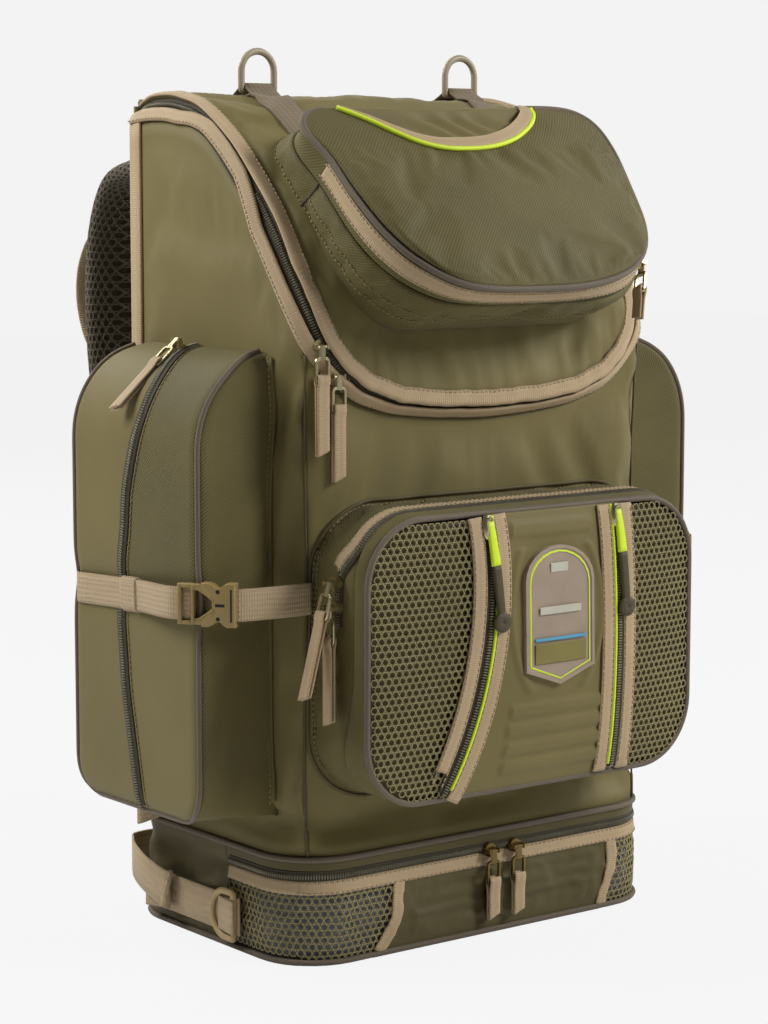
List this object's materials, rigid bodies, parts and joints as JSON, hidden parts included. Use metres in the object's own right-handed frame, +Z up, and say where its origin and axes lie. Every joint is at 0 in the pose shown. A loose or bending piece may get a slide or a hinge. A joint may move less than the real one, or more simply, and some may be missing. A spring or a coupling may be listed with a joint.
{
  "type": "tackle backpack",
  "caption": "Fabric tackle backpack with hinged hood lid, zipped lid, side and front pockets, mesh panels, drop-front base compartment, compression buckles, D-rings and padded straps.",
  "frame": {"origin": "middle of the underside of the base, on the ground", "axes": "+Z up, front pocket faces -Y, +X to the right seen from the front"},
  "size_m": [0.4314, 0.3384, 0.5706],
  "materials": {
    "olive_cloth": "coated woven polyester, matt",
    "dark_cloth": "ribbed woven polyester, matt",
    "tan_webbing": "ribbed webbing and grosgrain, matt",
    "mesh_cloth": "knitted open mesh, matt",
    "pad_cloth": "spacer mesh over foam, matt",
    "zip_cloth": "coil zipper tape, matt",
    "khaki_plastic": "moulded acetal, satin",
    "board_plastic": "extruded polyethylene sheet, matt",
    "slider_metal": "pale plated zinc, satin",
    "lime_plastic": "lime moulded rubber, satin",
    "badge_rubber": "moulded rubber, matt"
  },
  "bodies": {
    "pack": {"base_board": "board_plastic", "base_wall": "olive_cloth", "base_rim": "dark_cloth", "divider_floor": "olive_cloth", "front_panel": "olive_cloth", "side_panel_left": "olive_cloth", "side_panel_right": "olive_cloth", "back_panel": "dark_cloth", "frame_sheet": "board_plastic", "back_pads": "pad_cloth", "mouth_zip": "zip_cloth", "side_pocket_left_gusset": "dark_cloth", "side_pocket_left_face": "olive_cloth", "side_pocket_right_gusset": "dark_cloth", "side_pocket_right_face": "olive_cloth", "front_pocket_gusset": "dark_cloth", "compression_straps": "tan_webbing", "buckle_sockets": "khaki_plastic", "shoulder_strap_left": "pad_cloth", "shoulder_strap_right": "pad_cloth", "shoulder_webbing": "tan_webbing", "haul_handle": "tan_webbing", "base_straps": "tan_webbing"},
    "lid": {"lid_panel": "olive_cloth", "lid_pocket_wall": "dark_cloth", "lid_straps": "tan_webbing"},
    "front_pocket_door": {"front_pocket_door": "olive_cloth", "front_pocket_mesh": "mesh_cloth", "badge": "badge_rubber"},
    "base_flap": {"base_flap_panel": "olive_cloth", "base_flap_mesh": "mesh_cloth"},
    "lid_pocket_cover": {"lid_pocket_cover": "olive_cloth"},
    "ring_top_left": {"ring_top_left": "khaki_plastic"},
    "ring_top_right": {"ring_top_right": "khaki_plastic"},
    "ring_base_left": {"ring_base_left": "khaki_plastic"},
    "ring_base_right": {"ring_base_right": "khaki_plastic"},
    "buckle_clip_left": {"buckle_clip_left": "khaki_plastic"},
    "buckle_clip_right": {"buckle_clip_right": "khaki_plastic"},
    "strap_adjuster_left": {"strap_adjuster_left": "khaki_plastic"},
    "strap_adjuster_right": {"strap_adjuster_right": "khaki_plastic"},
    "lid_slider_upper": {"lid_slider_upper": "slider_metal"},
    "lid_slider_lower": {"lid_slider_lower": "slider_metal"},
    "lid_pull_upper": {"lid_pull_upper": "slider_metal"},
    "lid_pull_lower": {"lid_pull_lower": "slider_metal"},
    "lid_pocket_slider": {"lid_pocket_slider": "slider_metal"},
    "lid_pocket_pull": {"lid_pocket_pull": "slider_metal"},
    "side_slider_left": {"side_slider_left": "slider_metal"},
    "side_pull_left": {"side_pull_left": "slider_metal"},
    "side_slider_right": {"side_slider_right": "slider_metal"},
    "side_pull_right": {"side_pull_right": "slider_metal"},
    "front_slider_upper": {"front_slider_upper": "slider_metal"},
    "front_pull_upper": {"front_pull_upper": "slider_metal"},
    "front_slider_lower": {"front_slider_lower": "slider_metal"},
    "front_pull_lower": {"front_pull_lower": "slider_metal"},
    "base_slider_left": {"base_slider_left": "slider_metal"},
    "base_slider_right": {"base_slider_right": "slider_metal"},
    "base_pull_left": {"base_pull_left": "slider_metal"},
    "base_pull_right": {"base_pull_right": "slider_metal"},
    "mesh_slider_left": {"mesh_slider_left": "lime_plastic"},
    "mesh_slider_right": {"mesh_slider_right": "lime_plastic"}
  },
  "joints": [
    {"name": "lid_hinge", "type": "hinge", "parent": "pack", "child": "lid", "pos_m": [0, 0.0925, 0.5375], "axis": [-1, 0, 0], "range_deg": [0, 110]},
    {"name": "lid_pocket_hinge", "type": "hinge", "parent": "lid", "child": "lid_pocket_cover", "pos_m": [0, -0.0393, 0.52307], "axis": [-1, 0, 0], "range_deg": [0, 30]},
    {"name": "front_pocket_hinge", "type": "hinge", "parent": "pack", "child": "front_pocket_door", "pos_m": [0, -0.12265, 0.107], "axis": [1, 0, 0], "range_deg": [0, 20]},
    {"name": "base_flap_hinge", "type": "hinge", "parent": "pack", "child": "base_flap", "pos_m": [0, -0.1025, 0.005], "axis": [1, 0, 0], "range_deg": [0, 85]},
    {"name": "top_ring_left_swing", "type": "hinge", "parent": "lid", "child": "ring_top_left", "pos_m": [-0.084, 0.03135, 0.54385], "axis": [1, 0, 0], "range_deg": [-75, 75]},
    {"name": "top_ring_right_swing", "type": "hinge", "parent": "lid", "child": "ring_top_right", "pos_m": [0.084, 0.03135, 0.54385], "axis": [1, 0, 0], "range_deg": [-75, 75]},
    {"name": "base_ring_left_swing", "type": "hinge", "parent": "pack", "child": "ring_base_left", "pos_m": [-0.1575, -0.042, 0.024], "axis": [0, 0, 1], "range_deg": [0, 140]},
    {"name": "base_ring_right_swing", "type": "hinge", "parent": "pack", "child": "ring_base_right", "pos_m": [0.1575, -0.042, 0.024], "axis": [0, 0, -1], "range_deg": [0, 140]},
    {"name": "buckle_left_slide", "type": "slide", "parent": "pack", "child": "buckle_clip_left", "axis": [-0.6157, 0.788, 0], "range_m": [0, 0.03]},
    {"name": "buckle_right_slide", "type": "slide", "parent": "pack", "child": "buckle_clip_right", "axis": [0.6157, 0.788, 0], "range_m": [0, 0.03]},
    {"name": "adjuster_left_tilt", "type": "hinge", "parent": "pack", "child": "strap_adjuster_left", "pos_m": [-0.108, 0.1065, 0.0645], "axis": [-1, 0, 0], "range_deg": [0, 35]},
    {"name": "adjuster_right_tilt", "type": "hinge", "parent": "pack", "child": "strap_adjuster_right", "pos_m": [0.108, 0.1065, 0.0645], "axis": [-1, 0, 0], "range_deg": [0, 35]},
    {"name": "lid_slider_upper_run", "type": "hinge", "parent": "pack", "child": "lid_slider_upper", "pos_m": [-0.057, -0.0925, 0.421], "axis": [0, -1, 0], "range_deg": [-15, 0]},
    {"name": "lid_slider_lower_run", "type": "hinge", "parent": "pack", "child": "lid_slider_lower", "pos_m": [-0.057, -0.0925, 0.421], "axis": [0, -1, 0], "range_deg": [0, 35]},
    {"name": "lid_pull_upper_swing", "type": "hinge", "parent": "lid_slider_upper", "child": "lid_pull_upper", "pos_m": [-0.1289, -0.0998, 0.38593], "axis": [-1, 0, 0], "range_deg": [0, 80]},
    {"name": "lid_pull_lower_swing", "type": "hinge", "parent": "lid_slider_lower", "child": "lid_pull_lower", "pos_m": [-0.11645, -0.0998, 0.36747], "axis": [-1, 0, 0], "range_deg": [0, 80]},
    {"name": "lid_pocket_slider_run", "type": "hinge", "parent": "lid", "child": "lid_pocket_slider", "pos_m": [0.062, -0.1101, 0.45342], "axis": [0, 0.9063, -0.4226], "range_deg": [0, 40]},
    {"name": "lid_pocket_pull_swing", "type": "hinge", "parent": "lid_pocket_slider", "child": "lid_pocket_pull", "pos_m": [0.11393, -0.12033, 0.43147], "axis": [0, -0.9063, 0.4226], "range_deg": [0, 80]},
    {"name": "side_slider_left_run", "type": "hinge", "parent": "pack", "child": "side_slider_left", "pos_m": [-0.142, 0.01, 0.324], "axis": [0, -1, 0], "range_deg": [0, 45]},
    {"name": "side_pull_left_swing", "type": "hinge", "parent": "side_slider_left", "child": "side_pull_left", "pos_m": [-0.16218, 0.01, 0.3861], "axis": [0, 1, 0], "range_deg": [0, 70]},
    {"name": "side_slider_right_run", "type": "hinge", "parent": "pack", "child": "side_slider_right", "pos_m": [0.142, 0.01, 0.324], "axis": [0, 1, 0], "range_deg": [0, 45]},
    {"name": "side_pull_right_swing", "type": "hinge", "parent": "side_slider_right", "child": "side_pull_right", "pos_m": [0.16218, 0.01, 0.3861], "axis": [0, -1, 0], "range_deg": [0, 70]},
    {"name": "front_slider_upper_run", "type": "hinge", "parent": "pack", "child": "front_slider_upper", "pos_m": [-0.092, -0.1228, 0.245], "axis": [0, 1, 0], "range_deg": [0, 70]},
    {"name": "front_pull_upper_swing", "type": "hinge", "parent": "front_slider_upper", "child": "front_pull_upper", "pos_m": [-0.1413, -0.1228, 0.245], "axis": [0, 1, 0], "range_deg": [0, 60]},
    {"name": "front_slider_lower_run", "type": "slide", "parent": "pack", "child": "front_slider_lower", "axis": [0, 0, -1], "range_m": [0, 0.012]},
    {"name": "front_pull_lower_swing", "type": "hinge", "parent": "front_slider_lower", "child": "front_pull_lower", "pos_m": [-0.1413, -0.1228, 0.23], "axis": [0, 1, 0], "range_deg": [0, 14]},
    {"name": "base_slider_left_run", "type": "slide", "parent": "base_flap", "child": "base_slider_left", "axis": [-1, 0, 0], "range_m": [0, 0.08]},
    {"name": "base_slider_right_run", "type": "slide", "parent": "base_flap", "child": "base_slider_right", "axis": [1, 0, 0], "range_m": [0, 0.06]},
    {"name": "base_pull_left_swing", "type": "hinge", "parent": "base_slider_left", "child": "base_pull_left", "pos_m": [0, -0.1098, 0.056], "axis": [-1, 0, 0], "range_deg": [0, 80]},
    {"name": "base_pull_right_swing", "type": "hinge", "parent": "base_slider_right", "child": "base_pull_right", "pos_m": [0.021, -0.1098, 0.056], "axis": [-1, 0, 0], "range_deg": [0, 80]},
    {"name": "mesh_slider_left_run", "type": "hinge", "parent": "front_pocket_door", "child": "mesh_slider_left", "pos_m": [-0.36966, -0.1478, 0.25568], "axis": [0, 1, 0], "range_deg": [0, 18]},
    {"name": "mesh_slider_right_run", "type": "slide", "parent": "front_pocket_door", "child": "mesh_slider_right", "axis": [0, 0, -1], "range_m": [0, 0.09]}
  ]
}
